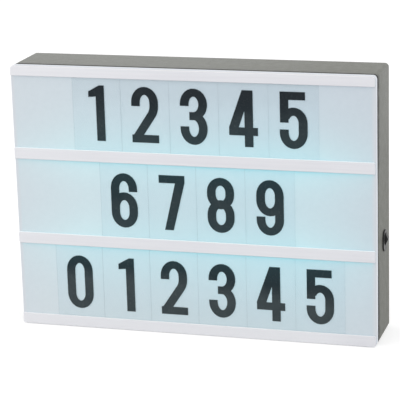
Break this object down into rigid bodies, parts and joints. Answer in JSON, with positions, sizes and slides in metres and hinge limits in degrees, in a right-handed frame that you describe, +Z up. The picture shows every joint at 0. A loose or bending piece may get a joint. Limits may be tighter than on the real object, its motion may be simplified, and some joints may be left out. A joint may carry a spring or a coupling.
{
  "type": "cinema light box",
  "caption": "Flat battery light box: a lit white front with sliding character tiles between white rails, a grey rear housing, a side switch and a rear battery door.",
  "frame": {"origin": "on the face it stands on, in the middle of the box's width and of its depth without the rails and the switch knob", "axes": "+X to the right as seen from the front, +Y from the lit front to the back, +Z up"},
  "size_m": [0.3036, 0.0556, 0.2193],
  "materials": {
    "lit_panel": "translucent satin, lit from behind",
    "white_rail": "satin white",
    "clear_tile": "clear sheet with a printed character",
    "grey_housing": "fine satin moulding",
    "cell_sleeve": "printed sleeve",
    "nickel_plate": "nickel plated",
    "spring_bronze": "bright spring strip",
    "white_tray": "white, diffuse",
    "board": "white solder mask",
    "led": "LED packages",
    "resistor": "chip resistors",
    "screw_steel": "zinc plated",
    "black_switch": "black moulded",
    "wire_white": "soft insulation",
    "wire_red": "soft insulation",
    "wire_black": "soft insulation"
  },
  "bodies": {
    "housing": {"front_panel": "lit_panel", "top_rail": "white_rail", "upper_middle_rail": "white_rail", "lower_middle_rail": "white_rail", "bottom_rail": "white_rail", "rear_housing": "grey_housing", "cell_1": "cell_sleeve", "cell_2": "cell_sleeve", "cell_3": "cell_sleeve", "cell_4": "cell_sleeve", "cell_5": "cell_sleeve", "cell_6": "cell_sleeve", "contact_plates": "nickel_plate", "contact_springs": "spring_bronze", "reflector_tray": "white_tray", "lower_led_board": "board", "upper_led_board": "board", "lower_leds": "led", "upper_leds": "led", "led_resistors": "resistor", "housing_screws": "screw_steel", "tray_screws": "screw_steel", "switch_bezel": "black_switch", "switch_body": "black_switch", "switch_terminals": "nickel_plate", "board_link_wires": "wire_white", "switch_to_led_wire": "wire_red", "battery_plus_wire": "wire_red", "battery_minus_wire": "wire_black"},
    "tile_1_1": {"tile_1_1": "clear_tile"},
    "tile_1_2": {"tile_1_2": "clear_tile"},
    "tile_1_3": {"tile_1_3": "clear_tile"},
    "tile_1_4": {"tile_1_4": "clear_tile"},
    "tile_1_5": {"tile_1_5": "clear_tile"},
    "tile_2_1": {"tile_2_1": "clear_tile"},
    "tile_2_2": {"tile_2_2": "clear_tile"},
    "tile_2_3": {"tile_2_3": "clear_tile"},
    "tile_2_4": {"tile_2_4": "clear_tile"},
    "tile_3_1": {"tile_3_1": "clear_tile"},
    "tile_3_2": {"tile_3_2": "clear_tile"},
    "tile_3_3": {"tile_3_3": "clear_tile"},
    "tile_3_4": {"tile_3_4": "clear_tile"},
    "tile_3_5": {"tile_3_5": "clear_tile"},
    "tile_3_6": {"tile_3_6": "clear_tile"},
    "battery_door": {"battery_door": "grey_housing"},
    "switch_slider": {"switch_slider": "black_switch"}
  },
  "joints": [
    {"name": "tile_1_1_slide", "type": "slide", "parent": "housing", "child": "tile_1_1", "axis": [1, 0, 0], "range_m": [-0.051, 0.0087]},
    {"name": "tile_1_2_slide", "type": "slide", "parent": "tile_1_1", "child": "tile_1_2", "axis": [1, 0, 0], "range_m": [0, 0.0087]},
    {"name": "tile_1_3_slide", "type": "slide", "parent": "tile_1_2", "child": "tile_1_3", "axis": [1, 0, 0], "range_m": [0, 0.0087]},
    {"name": "tile_1_4_slide", "type": "slide", "parent": "tile_1_3", "child": "tile_1_4", "axis": [1, 0, 0], "range_m": [0, 0.0087]},
    {"name": "tile_1_5_slide", "type": "slide", "parent": "tile_1_4", "child": "tile_1_5", "axis": [1, 0, 0], "range_m": [0, 0.0087]},
    {"name": "tile_2_1_slide", "type": "slide", "parent": "housing", "child": "tile_2_1", "axis": [1, 0, 0], "range_m": [-0.071, 0.0159]},
    {"name": "tile_2_2_slide", "type": "slide", "parent": "tile_2_1", "child": "tile_2_2", "axis": [1, 0, 0], "range_m": [0, 0.0159]},
    {"name": "tile_2_3_slide", "type": "slide", "parent": "tile_2_2", "child": "tile_2_3", "axis": [1, 0, 0], "range_m": [0, 0.0159]},
    {"name": "tile_2_4_slide", "type": "slide", "parent": "tile_2_3", "child": "tile_2_4", "axis": [1, 0, 0], "range_m": [0, 0.0159]},
    {"name": "tile_3_1_slide", "type": "slide", "parent": "housing", "child": "tile_3_1", "axis": [1, 0, 0], "range_m": [-0.03, 0.004]},
    {"name": "tile_3_2_slide", "type": "slide", "parent": "tile_3_1", "child": "tile_3_2", "axis": [1, 0, 0], "range_m": [0, 0.004]},
    {"name": "tile_3_3_slide", "type": "slide", "parent": "tile_3_2", "child": "tile_3_3", "axis": [1, 0, 0], "range_m": [0, 0.004]},
    {"name": "tile_3_4_slide", "type": "slide", "parent": "tile_3_3", "child": "tile_3_4", "axis": [1, 0, 0], "range_m": [0, 0.004]},
    {"name": "tile_3_5_slide", "type": "slide", "parent": "tile_3_4", "child": "tile_3_5", "axis": [1, 0, 0], "range_m": [0, 0.004]},
    {"name": "tile_3_6_slide", "type": "slide", "parent": "tile_3_5", "child": "tile_3_6", "axis": [1, 0, 0], "range_m": [0, 0.004]},
    {"name": "battery_door_hinge", "type": "hinge", "parent": "housing", "child": "battery_door", "pos_m": [0, 0.027, 0.0783], "axis": [-1, 0, 0], "range_deg": [0, 75]},
    {"name": "switch_slide", "type": "slide", "parent": "housing", "child": "switch_slider", "axis": [0, 0, 1], "range_m": [-0.003, 0]}
  ]
}
